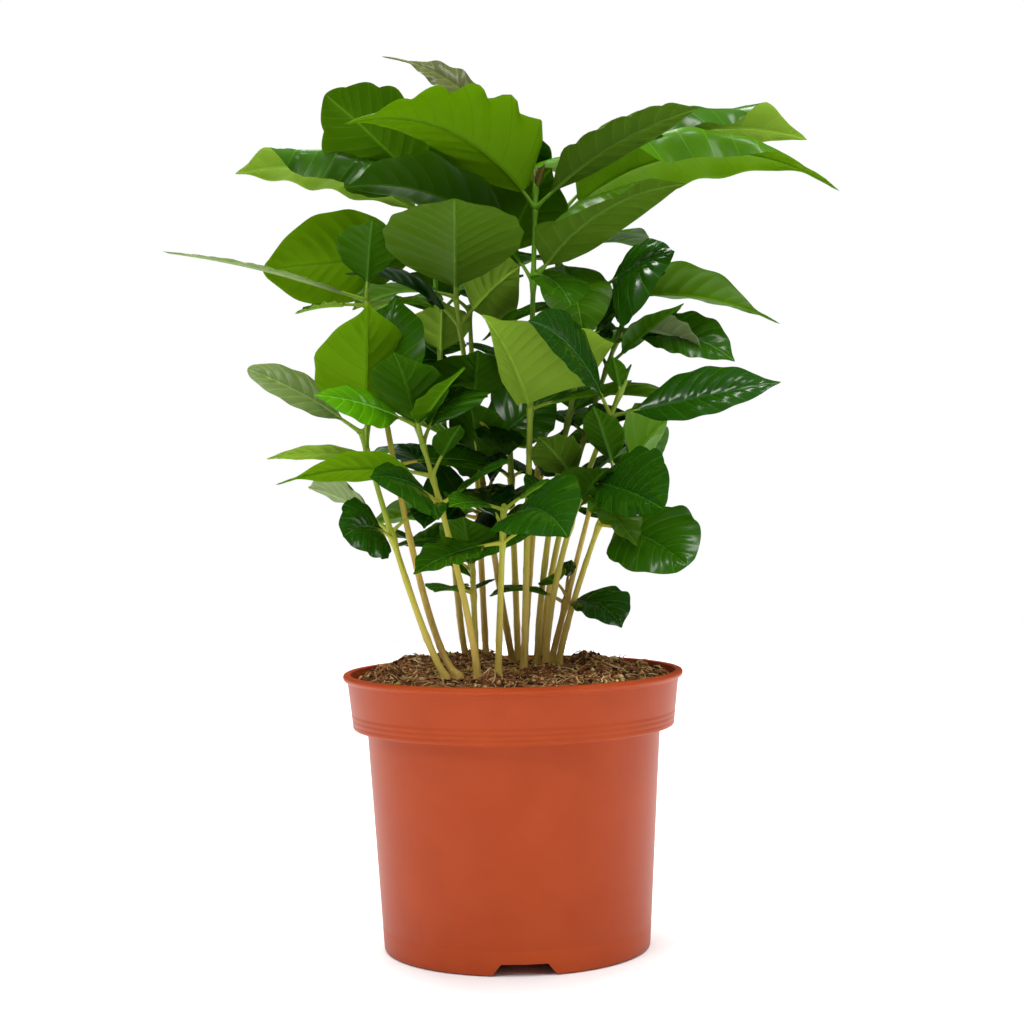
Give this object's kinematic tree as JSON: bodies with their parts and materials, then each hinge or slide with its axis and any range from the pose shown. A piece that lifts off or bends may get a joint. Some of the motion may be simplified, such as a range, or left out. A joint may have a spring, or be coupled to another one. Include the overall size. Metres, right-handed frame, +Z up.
{
  "type": "potted coffee plant",
  "caption": "Bushy young coffee plant: many thin-stemmed seedlings with large glossy leaves, growing together in a round terracotta-coloured plastic nursery pot.",
  "frame": {"origin": "centre of the pot's flat underside, which is also the middle of the bottom of the overall box", "axes": "+Z up; the front of the plant looks along -Y"},
  "size_m": [0.231, 0.1729, 0.3205],
  "materials": {
    "pot": "satin terracotta-coloured moulded plastic",
    "soil": "rough, fibrous, moist peat",
    "stem": "satin green to tan young bark",
    "leaf": "glossy green upper side, satin lighter underside"
  },
  "bodies": {
    "root": {"pot": "pot", "soil": "soil", "stem_01": "stem", "stem_02": "stem", "stem_03": "stem", "stem_04": "stem", "stem_05": "stem", "stem_06": "stem", "stem_07": "stem", "stem_08": "stem", "stem_09": "stem", "stem_10": "stem", "stem_11": "stem", "stem_12": "stem", "stem_13": "stem", "stem_14": "stem", "stem_15": "stem", "stem_16": "stem", "foliage_01": "leaf", "foliage_02": "leaf", "foliage_03": "leaf", "foliage_04": "leaf", "foliage_05": "leaf", "foliage_06": "leaf", "foliage_07": "leaf", "foliage_08": "leaf", "foliage_09": "leaf", "foliage_10": "leaf", "foliage_11": "leaf", "foliage_12": "leaf", "foliage_13": "leaf", "foliage_14": "leaf", "foliage_15": "leaf", "foliage_16": "leaf"}
  },
  "joints": []
}
